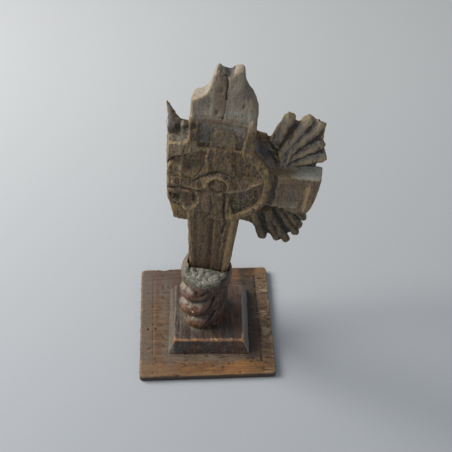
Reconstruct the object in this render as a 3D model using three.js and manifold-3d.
// A small standing cross in carved wood: a board, a bevelled block, a three-strand twisted column
// and a cross carved from one plank, whose left side has split away along the grain.
// Millimetres, +Z up, +Y away from the viewer. The origin is the centre of the board's underside.

import * as THREE from 'three';
import { mergeVertices } from 'three/addons/utils/BufferGeometryUtils.js';
import Module from 'manifold-3d';

const wasm = await Module();
wasm.setup();

// Driving dimensions: the foot
const BOARD_SIDE = 80;
const BOARD_THICKNESS = 5.6;
const BORDER_WIDTH = 8;
const BORDER_FALL = 0.6;
const SCORED_LINE_DEPTH = 0.6;
const BLOCK_FOOT_SIDE = 48.4;
const BLOCK_TOP_SIDE = 41;
const BLOCK_HEIGHT = 9.2;
const BLOCK_CENTRE = [1.6, -1.9];
const BLOCK_EDGE = 0.5;
const BLOCK_TURN = THREE.MathUtils.degToRad(-2);

// Driving dimensions: the column, which leans to the right and carries the cross turned to the left
const COLUMN_FOOT = [-1, -1.2];
const LEAN = THREE.MathUtils.degToRad(3);
const TURN = THREE.MathUtils.degToRad(12);
const STRAND_COUNT = 3;
const STRAND_RADIUS = 8.5;
const STRAND_OFFSET = 5.4;
const TWIST_LEAD = 41;
const TWIST_START = THREE.MathUtils.degToRad(0);
const TWIST_FADE = [30, 37];
const HEAD_RADIUS = 14.5;
const HEAD_SHIFT = -0.4;
const HEAD_CENTRE_HEIGHT = 39;
const HEAD_TOP = 48;
const TENON_RADIUS = 6;
const TENON_LENGTH = 12;
const TENON_ROOT = 4;
const GAP = 0.3;

// Driving dimensions: the cross, whose own height is measured from where its front meets the column
const PLANK_THICKNESS = 11.5;
const CROSS_AXIS = [0.5, -3.2, 42.2];
const SHAFT_HALF_WIDTH = 10.2;
const SHAFT_FLARE = 0.05;
const SHAFT_SWELL = 1.3;
const SHAFT_SHOULDER = 6;
const SHAFT_FOOT = -1.5;
const SHAFT_LENGTH = 50;
const TONGUE = { halfWidth: 10, front: -0.6, back: -8.6, length: 7 };
const PUTTY_FLOOR = 1.6;
const PUTTY_LUMP = { across: 15.2, out: 14.4, up: 6.6, centre: -3 };
const RING_HEIGHT = 72.5;
const RING_FRONT_RADIUS = 29;
const RING_BACK_RADIUS = 31;
const RING_INNER_RADIUS = 24.4;
const HOLLOW_DEPTHS = { upperLeft: 2.6, upperRight: 1.7, lowerRight: 2.5, lowerLeft: 3.2 };
const RAY_CREST = -7.4;
const RAY_VALLEY = -10;
const SPLIT = { edge: -24.4, lean: 0.015, slant: 0.22, waver: 0.35 };
const TOP_ARM_TAPER = { from: 108, back: 0.1, front: 0.012 };
const HALO = { x: 1.8, y: 70.2, radius: 6.3, tube: 1.8, hollow: 5.4 };
const HEAD = { across: 2.7, up: 3.6, out: 2.1 };

const BOARD_TOP = BOARD_THICKNESS;
const BLOCK_TOP = BOARD_TOP + BLOCK_HEIGHT;

const postMatrix = new THREE.Matrix4()
  .makeTranslation(COLUMN_FOOT[0], COLUMN_FOOT[1], BLOCK_TOP)
  .multiply(new THREE.Matrix4().makeRotationZ(-TURN))
  .multiply(new THREE.Matrix4().makeRotationY(LEAN));

// Solids

function toSolid(geometry) {
  const bare = geometry.clone();
  bare.deleteAttribute('normal');
  bare.deleteAttribute('uv');
  const merged = mergeVertices(bare, 1e-4);
  const mesh = new wasm.Mesh({
    numProp: 3,
    vertProperties: Float32Array.from(merged.attributes.position.array),
    triVerts: Uint32Array.from(merged.index.array),
  });
  return new wasm.Manifold(mesh);
}

function toGeometry(solid) {
  const mesh = solid.getMesh();
  const geometry = new THREE.BufferGeometry();
  geometry.setAttribute('position', new THREE.BufferAttribute(mesh.vertProperties, 3));
  geometry.setIndex(new THREE.BufferAttribute(mesh.triVerts, 1));
  geometry.computeVertexNormals();
  return geometry;
}

function join(solids) {
  return solids.reduce((sum, solid) => sum.add(solid));
}

function boxBetween(low, high) {
  const size = high.map((value, axis) => value - low[axis]);
  const centre = high.map((value, axis) => (value + low[axis]) / 2);
  return toSolid(new THREE.BoxGeometry(...size).translate(...centre));
}

function standingCylinder(radius, bottom, top, segments) {
  const geometry = new THREE.CylinderGeometry(radius, radius, top - bottom, segments);
  return geometry.rotateX(Math.PI / 2).translate(0, 0, (top + bottom) / 2);
}

// A closed skin over rings of equal count, given from one end to the other, as sections of points
function loftGeometry(rings) {
  const count = rings[0].length;
  const positions = rings.flat().flatMap((point) => [point.x, point.y, point.z]);
  const index = [];
  for (let level = 0; level < rings.length - 1; level += 1) {
    for (let step = 0; step < count; step += 1) {
      const a = level * count + step;
      const b = level * count + ((step + 1) % count);
      index.push(a, b, b + count, a, b + count, a + count);
    }
  }
  const first = centreOf(rings[0]);
  const last = centreOf(rings[rings.length - 1]);
  const base = positions.length / 3;
  positions.push(first.x, first.y, first.z, last.x, last.y, last.z);
  const top = (rings.length - 1) * count;
  for (let step = 0; step < count; step += 1) {
    const next = (step + 1) % count;
    index.push(base, next, step);
    index.push(base + 1, top + step, top + next);
  }
  const geometry = new THREE.BufferGeometry();
  geometry.setAttribute('position', new THREE.Float32BufferAttribute(positions, 3));
  geometry.setIndex(facingOut(positions, index));
  return geometry;
}

// The index as given, or with every triangle turned over if the closed skin would face inwards
function facingOut(positions, index) {
  const corner = (item) => new THREE.Vector3().fromArray(positions, 3 * item);
  let sixVolumes = 0;
  for (let item = 0; item < index.length; item += 3) {
    const [a, b, c] = index.slice(item, item + 3).map(corner);
    sixVolumes += a.dot(b.cross(c));
  }
  return sixVolumes > 0 ? index : index.reverse();
}

function centreOf(ring) {
  const sum = new THREE.Vector3();
  ring.forEach((point) => sum.add(point));
  return sum.divideScalar(ring.length);
}

// A carved layer of the plank: an outline across and up, between two depths, with softened edges
function layer(shape, front, back, edge = 0) {
  const geometry = new THREE.ExtrudeGeometry(shape, {
    depth: front - back - 2 * edge,
    bevelEnabled: edge > 0,
    bevelThickness: edge,
    bevelSize: edge,
    bevelOffset: -edge,
    bevelSegments: 2,
    curveSegments: 8,
  });
  return geometry.translate(0, 0, back + edge);
}

function polygon(points) {
  return new THREE.Shape(points.map(([x, y]) => new THREE.Vector2(x, y)));
}

// A straight-sided well, from an outline seen from above
function well(points, floor, top) {
  const geometry = new THREE.ExtrudeGeometry(polygon(points), { depth: top - floor, bevelEnabled: false });
  return toSolid(geometry.translate(0, 0, floor));
}

// The foot

function squareRing(side, z, corner, centre, turn) {
  const half = side / 2;
  const segments = 4;
  const ring = [];
  for (let quarter = 0; quarter < 4; quarter += 1) {
    const start = (quarter * Math.PI) / 2;
    const cornerX = (quarter === 0 || quarter === 3 ? 1 : -1) * (half - corner);
    const cornerY = (quarter < 2 ? 1 : -1) * (half - corner);
    for (let step = 0; step <= segments; step += 1) {
      const angle = start + (step / segments) * (Math.PI / 2);
      const across = cornerX + corner * Math.cos(angle);
      const along = cornerY + corner * Math.sin(angle);
      const x = centre[0] + across * Math.cos(turn) - along * Math.sin(turn);
      const y = centre[1] + across * Math.sin(turn) + along * Math.cos(turn);
      ring.push(new THREE.Vector3(x, y, z));
    }
  }
  return ring;
}

function tenonHole() {
  const hole = standingCylinder(TENON_RADIUS + GAP, -TENON_LENGTH - GAP, 8, 32);
  return toSolid(hole.applyMatrix4(postMatrix));
}

function boardGeometry() {
  const field = BOARD_SIDE - 2 * BORDER_WIDTH;
  const levels = [
    [BOARD_SIDE - 0.8, 0, 1.6],
    [BOARD_SIDE, 0.5, 2],
    [BOARD_SIDE, BOARD_TOP - BORDER_FALL - 0.6, 2],
    [BOARD_SIDE - 1, BOARD_TOP - BORDER_FALL - 0.1, 1.8],
    [field + 1, BOARD_TOP - 0.1, 1],
    [field, BOARD_TOP - SCORED_LINE_DEPTH, 1],
    [field - 0.9, BOARD_TOP, 1],
  ];
  const rings = levels.map(([side, z, corner]) => squareRing(side, z, corner, [0, 0], 0));
  return toGeometry(toSolid(loftGeometry(rings)).subtract(tenonHole()));
}

function blockGeometry() {
  const levels = [
    [BLOCK_FOOT_SIDE, BOARD_TOP, 0.6],
    [BLOCK_TOP_SIDE + 0.4, BLOCK_TOP - BLOCK_EDGE, 0.9],
    [BLOCK_TOP_SIDE - BLOCK_EDGE, BLOCK_TOP, 0.8],
  ];
  const rings = levels.map(([side, z, corner]) => squareRing(side, z, corner, BLOCK_CENTRE, BLOCK_TURN));
  return toGeometry(toSolid(loftGeometry(rings)).subtract(tenonHole()));
}

// The column, in the leaning frame whose origin is the middle of its foot

function strandRadius(angle) {
  const third = (2 * Math.PI) / STRAND_COUNT;
  const local = THREE.MathUtils.euclideanModulo(angle + third / 2, third) - third / 2;
  const across = STRAND_OFFSET * Math.sin(local);
  return STRAND_OFFSET * Math.cos(local) + Math.sqrt(STRAND_RADIUS ** 2 - across ** 2);
}

// The strands run up into a plain rounded head
function columnRadius(angle, z) {
  const turned = TWIST_START + (2 * Math.PI * z) / TWIST_LEAD;
  const above = Math.max(0, z - HEAD_CENTRE_HEIGHT) / HEAD_RADIUS;
  const plain = THREE.MathUtils.smoothstep(z, ...TWIST_FADE);
  const radius = THREE.MathUtils.lerp(strandRadius(angle - turned), HEAD_RADIUS, plain);
  return radius * Math.sqrt(1 - above ** 2);
}

function twistSolid() {
  const around = 42;
  const levels = 34;
  const below = -2;
  const rings = [];
  for (let level = 0; level <= levels; level += 1) {
    const z = below + ((HEAD_TOP - below) * level) / levels;
    const shift = HEAD_SHIFT * THREE.MathUtils.smoothstep(z, ...TWIST_FADE);
    const ring = [];
    for (let step = 0; step < around; step += 1) {
      const angle = (2 * Math.PI * step) / around;
      const radius = columnRadius(angle, z);
      ring.push(new THREE.Vector3(shift + radius * Math.cos(angle), radius * Math.sin(angle), z));
    }
    rings.push(ring);
  }
  return toSolid(loftGeometry(rings));
}

// A socket for the tongue and the foot of the shaft, and the cheek that has broken out before them
function socketSolid() {
  const [axisX, frontY, footZ] = CROSS_AXIS;
  const top = HEAD_TOP + 1;
  const tongueReach = TONGUE.halfWidth + GAP;
  const tongueFront = frontY - TONGUE.front - GAP;
  const tongueBack = frontY - TONGUE.back + GAP;
  const shaftReach = SHAFT_HALF_WIDTH + SHAFT_SWELL + 2 * GAP;
  const shaftBackReach = SHAFT_HALF_WIDTH + SHAFT_SWELL / 2 + 2 * GAP;
  const shaftFront = frontY - GAP;
  const shaftBack = frontY - TONGUE.back + 2 * GAP;
  const cheekFront = -2 * HEAD_RADIUS;
  const tongueWell = well([
    [axisX - tongueReach, tongueFront], [axisX + tongueReach, tongueFront],
    [axisX + tongueReach, tongueBack], [axisX - tongueReach, tongueBack],
  ], footZ - TONGUE.length - GAP, top);
  const shaftWell = well([
    [axisX - shaftReach, shaftFront], [axisX + shaftReach, shaftFront],
    [axisX + shaftReach, frontY + SHAFT_SHOULDER], [axisX + shaftBackReach, shaftBack],
    [axisX - shaftBackReach, shaftBack], [axisX - shaftReach, frontY + SHAFT_SHOULDER],
  ], footZ + SHAFT_FOOT - GAP, top);
  const cheek = well([
    [axisX - tongueReach, cheekFront], [axisX + tongueReach, cheekFront],
    [axisX + tongueReach, tongueFront], [axisX - tongueReach, tongueFront],
  ], footZ + PUTTY_FLOOR - GAP, top);
  return join([tongueWell, shaftWell, cheek]);
}

function columnGeometry() {
  const below = new THREE.BoxGeometry(BOARD_SIDE, BOARD_SIDE, BLOCK_TOP);
  below.translate(0, 0, BLOCK_TOP / 2 + GAP).applyMatrix4(postMatrix.clone().invert());
  const body = twistSolid().subtract(toSolid(below));
  const tenon = toSolid(standingCylinder(TENON_RADIUS, -TENON_LENGTH, TENON_ROOT, 32));
  return toGeometry(body.add(tenon).subtract(socketSolid()));
}

function puttyGeometry() {
  const [axisX, frontY, footZ] = CROSS_AXIS;
  const { across, out, up, centre } = PUTTY_LUMP;
  const lump = new THREE.SphereGeometry(1, 36, 20).rotateX(Math.PI / 2).scale(across, out, up);
  const low = [axisX - TONGUE.halfWidth, -2 * HEAD_RADIUS, footZ + PUTTY_FLOOR];
  const high = [axisX + TONGUE.halfWidth, frontY - GAP, footZ + up];
  return toGeometry(toSolid(lump.translate(0, -1, footZ + centre)).intersect(boxBetween(low, high)));
}

// The cross, drawn flat: x across, y up the plank and z out of its front, with 0 at the ring's face

function shaftSection(y) {
  const half = SHAFT_HALF_WIDTH + SHAFT_FLARE * y;
  const depth = THREE.MathUtils.lerp(-TONGUE.back, PLANK_THICKNESS, THREE.MathUtils.smoothstep(y, 2, 30));
  const swell = SHAFT_SWELL + 0.012 * y;
  const left = [
    [-half - swell / 2, -depth],
    [-half - swell, -SHAFT_SHOULDER],
    [-half - 0.6, -1.2],
    [-half + 0.2, -0.3],
    [-half + 2.1, -0.4],
    [-half + 3.2, -2],
    [-half + 4.6, -0.9],
    [-1.4, -0.7],
    [-0.6, -1.9],
  ];
  const right = left.map(([x, z]) => [-x, z]).reverse();
  return left.concat(right).map(([x, z]) => new THREE.Vector3(x, y, z)).reverse();
}

function shaftSolid() {
  const heights = [SHAFT_FOOT, 4, 12, 20, 30, SHAFT_LENGTH];
  return toSolid(loftGeometry(heights.map(shaftSection)));
}

function tongueSolid() {
  const { halfWidth, front, back, length } = TONGUE;
  return boxBetween([-halfWidth, -length, back], [halfWidth, SHAFT_FOOT + 1, front]);
}

function ringSolid() {
  const profile = [
    [0, -PLANK_THICKNESS],
    [RING_BACK_RADIUS, -PLANK_THICKNESS],
    [RING_BACK_RADIUS - 1.4, -5],
    [RING_FRONT_RADIUS, -0.9],
    [RING_FRONT_RADIUS - 0.9, 0],
    [0, 0],
  ].map(([radius, z]) => new THREE.Vector2(radius, z));
  const geometry = new THREE.LatheGeometry(profile, 56).rotateX(Math.PI / 2);
  return toSolid(geometry.translate(0, RING_HEIGHT, 0));
}

// The four hollows between the figure and the rim
function hollowShapes() {
  const upperLeft = new THREE.Shape();
  upperLeft.moveTo(-30, 70);
  upperLeft.lineTo(-30, 77);
  upperLeft.quadraticCurveTo(-19, 90, -5.8, 91.2);
  upperLeft.lineTo(-6, 82);
  upperLeft.quadraticCurveTo(-8, 74, -13, 72.6);
  const upperRight = new THREE.Shape();
  upperRight.moveTo(10.4, 78);
  upperRight.lineTo(22.6, 79);
  upperRight.absarc(0, RING_HEIGHT, RING_INNER_RADIUS, 0.28, 1.14, false);
  upperRight.lineTo(7.4, 94);
  upperRight.lineTo(7.8, 85);
  const lowerRight = new THREE.Shape();
  lowerRight.moveTo(9, 67);
  lowerRight.lineTo(8, 59);
  lowerRight.lineTo(10.4, 50.6);
  lowerRight.absarc(0, RING_HEIGHT, RING_INNER_RADIUS, -1.1, -0.02, false);
  const lowerLeft = new THREE.Shape();
  lowerLeft.moveTo(-30, 61);
  lowerLeft.lineTo(-30, 54);
  lowerLeft.quadraticCurveTo(-20, 47.4, -12.1, 49.4);
  lowerLeft.quadraticCurveTo(-8.6, 55, -10.4, 61.4);
  return { upperLeft, upperRight, lowerRight, lowerLeft };
}

function hollowSolids() {
  const shapes = Object.entries(hollowShapes());
  return shapes.map(([name, shape]) => toSolid(layer(shape, 2, -HOLLOW_DEPTHS[name])));
}

function ball(x, y, z, across, up, out) {
  const geometry = new THREE.SphereGeometry(1, 20, 12).scale(across, up, out);
  return toSolid(geometry.translate(x, y, z));
}

// A limb in low relief, round in section and thinner at its far end
function limb(from, to, startWidth, endWidth, rise) {
  const start = new THREE.Vector2(...from);
  const along = new THREE.Vector2(...to).sub(start);
  const side = new THREE.Vector2(-along.y, along.x).normalize();
  const stations = [[0, 0.55], [0.12, 1], [0.85, 1], [1, 0.55]];
  const rings = stations.map(([part, fullness]) => {
    const width = THREE.MathUtils.lerp(startWidth, endWidth, part) * fullness;
    const middle = start.clone().addScaledVector(along, part);
    const ring = [new THREE.Vector3(middle.x, middle.y, -2)];
    for (let step = 0; step <= 8; step += 1) {
      const angle = (Math.PI * step) / 8;
      const across = (width / 2) * Math.cos(angle);
      const z = -0.6 + (rise + 0.6) * fullness * Math.sin(angle);
      ring.push(new THREE.Vector3(middle.x - side.x * across, middle.y - side.y * across, z));
    }
    return ring;
  });
  return toSolid(loftGeometry(rings));
}

function figureSolids() {
  const { x, y, radius, tube } = HALO;
  const halo = toSolid(new THREE.TorusGeometry(radius, tube, 10, 28).translate(x, y, -0.5));
  return [
    halo,
    ball(x - 0.2, y - 0.2, -0.7, HEAD.across, HEAD.up, HEAD.out),
    ball(-1.1, 56.5, -0.8, 7, 11, 1.9),
    limb([-4.5, 65.5], [-24, 68.5], 5.6, 4.6, 0.5),
    limb([6.5, 66.8], [23, 75], 5.2, 4.4, 0.5),
  ];
}

// The top arm, thinner towards its broken tip

function topArmShape() {
  const shape = new THREE.Shape();
  shape.moveTo(-14.4, 88);
  shape.lineTo(-14.3, 112);
  shape.lineTo(-14.2, 122);
  shape.quadraticCurveTo(-6.8, 124.6, -5.8, 131.6);
  shape.quadraticCurveTo(-5, 136.6, -2.4, 140.4);
  shape.lineTo(0.6, 139.8);
  shape.lineTo(2, 136.6);
  shape.lineTo(3.6, 140);
  shape.quadraticCurveTo(5.6, 142.4, 7.8, 141.2);
  shape.quadraticCurveTo(8.6, 134.4, 12.2, 129);
  shape.quadraticCurveTo(16, 123.8, 16.8, 117);
  shape.lineTo(17.4, 88);
  return shape;
}

function topArmSolid() {
  const geometry = layer(topArmShape(), -1, -PLANK_THICKNESS, 0.8);
  const position = geometry.attributes.position;
  const { from, back, front } = TOP_ARM_TAPER;
  for (let item = 0; item < position.count; item += 1) {
    const depth = position.getZ(item);
    const above = Math.max(0, position.getY(item) - from);
    const isBack = depth < -PLANK_THICKNESS / 2;
    position.setZ(item, isBack ? depth + above * back : depth - above * front);
  }
  return toSolid(geometry);
}

function topArmDetail() {
  const panel = polygon([[-10.2, 94], [12.4, 95], [14.6, 110.6], [-9.6, 108.6]]);
  const arch = new THREE.Shape();
  arch.moveTo(-4, 94);
  arch.lineTo(-4, 100.4);
  arch.absarc(2.4, 100.4, 6.4, Math.PI, 0, true);
  arch.lineTo(8.8, 94);
  const leftRib = polygon([[-14.5, 94], [-10.4, 95], [-10, 110], [-12.2, 114.5], [-14.4, 112]]);
  const rightRib = polygon([[11.6, 94], [14, 90], [17.6, 92], [17.5, 111], [15.6, 115.6], [13.8, 112]]);
  return {
    cut: toSolid(layer(panel, 2, -2.8)),
    added: [
      toSolid(layer(arch, -1.1, -4, 0.9)),
      toSolid(layer(leftRib, 0, -4, 0.6)),
      toSolid(layer(rightRib, 0.1, -4, 0.6)),
    ],
  };
}

// The right arm, wider towards its end

function sideArmSolid() {
  const shape = new THREE.Shape();
  shape.moveTo(22, 60.5);
  shape.lineTo(33, 59);
  shape.lineTo(46.5, 56.6);
  shape.quadraticCurveTo(51.6, 62, 52, 84);
  shape.lineTo(31, 82);
  shape.lineTo(22, 82);
  const body = toSolid(layer(shape, -1.2, -PLANK_THICKNESS, 0.8));
  const panel = polygon([[32.6, 62.2], [43.6, 61.6], [45, 78], [32.6, 77]]);
  const endRib = polygon([[45.6, 59.6], [48, 60.2], [49.4, 80.4], [46.8, 80.4]]);
  return body.subtract(toSolid(layer(panel, 2, -2.2))).add(toSolid(layer(endRib, -0.6, -4, 0.5)));
}

// The rays between the arms

function raySolid(from, to, startWidth, endWidth, crest) {
  const start = new THREE.Vector2(...from);
  const along = new THREE.Vector2(...to).sub(start);
  const side = new THREE.Vector2(-along.y, along.x).normalize();
  const stations = [[0, 1], [0.5, 1], [0.9, 1], [1, 0.72]];
  const rings = stations.map(([part, fullness]) => {
    const half = (THREE.MathUtils.lerp(startWidth, endWidth, part) / 2) * fullness;
    const middle = start.clone().addScaledVector(along, part);
    const arcSteps = 8;
    const section = [[half, -PLANK_THICKNESS], [half, RAY_VALLEY]];
    for (let step = 1; step < arcSteps; step += 1) {
      const angle = (Math.PI * step) / arcSteps;
      section.push([half * Math.cos(angle), RAY_VALLEY + (crest - RAY_VALLEY) * fullness * Math.sin(angle)]);
    }
    section.push([-half, RAY_VALLEY], [-half, -PLANK_THICKNESS]);
    return section.map(([across, z]) => (
      new THREE.Vector3(middle.x - side.x * across, middle.y - side.y * across, z)
    ));
  });
  return toSolid(loftGeometry(rings));
}

const UPPER_RAYS = [
  [[25, 92], [32.8, 115.4], 6, 6],
  [[29, 87.5], [42, 115.8], 4.6, 6],
  [[30.6, 86], [47.6, 113.4], 4.4, 7],
  [[30, 83], [50, 101], 3.8, 5.6],
  [[30, 80.8], [52.4, 92.4], 3.8, 5.6],
];

const LOWER_RAYS = [
  [[20, 46], [27.8, 25.6], 4.5, 5.2],
  [[27, 48], [35.3, 25.9], 4.2, 5],
  [[28, 49], [40.8, 25.7], 4, 4.8],
  [[33, 52], [45.3, 33.2], 4, 4.6],
  [[36, 53], [46.4, 39], 4, 4.4],
  [[41, 54], [47.8, 46], 4, 4.4],
];

const UPPER_WEB = [
  [12, 90], [17, 101], [22.4, 100.6], [23.6, 97.6], [28, 104.6], [31, 111.6], [37, 111.6], [45, 111.6],
  [49.4, 109], [49.4, 101.6], [51.6, 93.6], [48, 84], [24, 72],
];

const LOWER_WEB = [
  [12, 60], [12, 36.8], [17.6, 35.6], [20.4, 35], [25.4, 29], [30.6, 29.4], [37, 30], [42, 32.4],
  [44.6, 38.4], [46, 44.6], [44, 60],
];

const LEFT_RAYS = [
  [[-17.6, 92], [-17.6, 100.4], 5, 5.4],
  [[-24, 90], [-29.2, 110.5], 6, 6],
];

const LEFT_WEB = [[-12, 90], [-15, 101], [-20, 101], [-28, 111.6], [-40, 111.6], [-40, 72], [-24, 72]];

function fanSolid(rays, web) {
  const plate = toSolid(layer(polygon(web), RAY_VALLEY, -PLANK_THICKNESS));
  const bars = rays.map(([from, to, startWidth, endWidth]) => (
    raySolid(from, to, startWidth, endWidth, RAY_CREST)
  ));
  return join([plate, ...bars]);
}

// The rim's corner above the upper left hollow, which runs out to the split
function rimCornerSolid() {
  const shape = polygon([[-30, 84], [-30, 92.4], [-20, 94.6], [-13, 96], [-13, 88]]);
  return toSolid(layer(shape, 0, -PLANK_THICKNESS, 0.5));
}

function collarSolid() {
  return raySolid([32.8, 80], [35, 92.6], 2.6, 2.2, RAY_CREST + 1.2);
}

// What is left below the ring where the lower left fan has broken out
function stumpSolid() {
  const shape = polygon([
    [-30, 56], [-30, 52], [-24.4, 47.6], [-23, 41], [-21.8, 35.6], [-18, 34.3], [-13.6, 34.6],
    [-12, 38], [-11, 46], [-11, 56],
  ]);
  return toSolid(layer(shape, -5, -PLANK_THICKNESS, 0.8));
}

// The split follows the grain: a leaning plane with a slight waver, further out at the back
function splitSolid() {
  const front = 4;
  const back = -16;
  const outside = -70;
  const rings = [];
  for (let y = 20; y <= 125; y += 7) {
    const waver = SPLIT.waver * (Math.sin(0.5 * y) + 0.5 * Math.sin(1.3 * y));
    const edge = SPLIT.edge - SPLIT.lean * (y - RING_HEIGHT) + waver;
    rings.push([
      new THREE.Vector3(outside, y, back),
      new THREE.Vector3(outside, y, front),
      new THREE.Vector3(edge + SPLIT.slant * front, y, front),
      new THREE.Vector3(edge + SPLIT.slant * back, y, back),
    ]);
  }
  return toSolid(loftGeometry(rings));
}

function crossGeometry() {
  const detail = topArmDetail();
  const haloHollow = new THREE.CylinderGeometry(HALO.hollow, HALO.hollow, 4, 20).rotateX(Math.PI / 2);
  const haloCut = toSolid(haloHollow.translate(HALO.x, HALO.y, 0.2));
  const plank = join([shaftSolid(), ringSolid(), topArmSolid()])
    .subtract(join([detail.cut, haloCut, ...hollowSolids()]));
  const whole = join([
    plank,
    tongueSolid(),
    ...figureSolids(),
    ...detail.added,
    sideArmSolid(),
    fanSolid(UPPER_RAYS, UPPER_WEB),
    fanSolid(LOWER_RAYS, LOWER_WEB),
    fanSolid(LEFT_RAYS, LEFT_WEB),
    collarSolid(),
    rimCornerSolid(),
    stumpSolid(),
  ]);
  return toGeometry(whole.subtract(splitSolid())).rotateX(Math.PI / 2);
}

// Materials and assembly

function wood(colour, roughness) {
  return new THREE.MeshStandardMaterial({ color: colour, roughness, metalness: 0 });
}

function piece(name, geometry, material) {
  const mesh = new THREE.Mesh(geometry, material);
  mesh.name = name;
  return mesh;
}

const column = piece('twisted_column', columnGeometry(), wood('#6b3f2b', 0.45));
const putty = piece('putty_fill', puttyGeometry(), wood('#8f9080', 0.95));
const cross = piece('carved_cross', crossGeometry(), wood('#5c5142', 0.85));
cross.position.set(...CROSS_AXIS);

const leaning = new THREE.Group();
leaning.rotation.y = LEAN;
leaning.add(column, putty, cross);

const turned = new THREE.Group();
turned.position.set(...COLUMN_FOOT, BLOCK_TOP);
turned.rotation.z = -TURN;
turned.add(leaning);

const group = new THREE.Group();
group.add(piece('base_board', boardGeometry(), wood('#7a4a2c', 0.55)));
group.add(piece('plinth_block', blockGeometry(), wood('#3f2a20', 0.5)));
group.add(turned);

export default group;
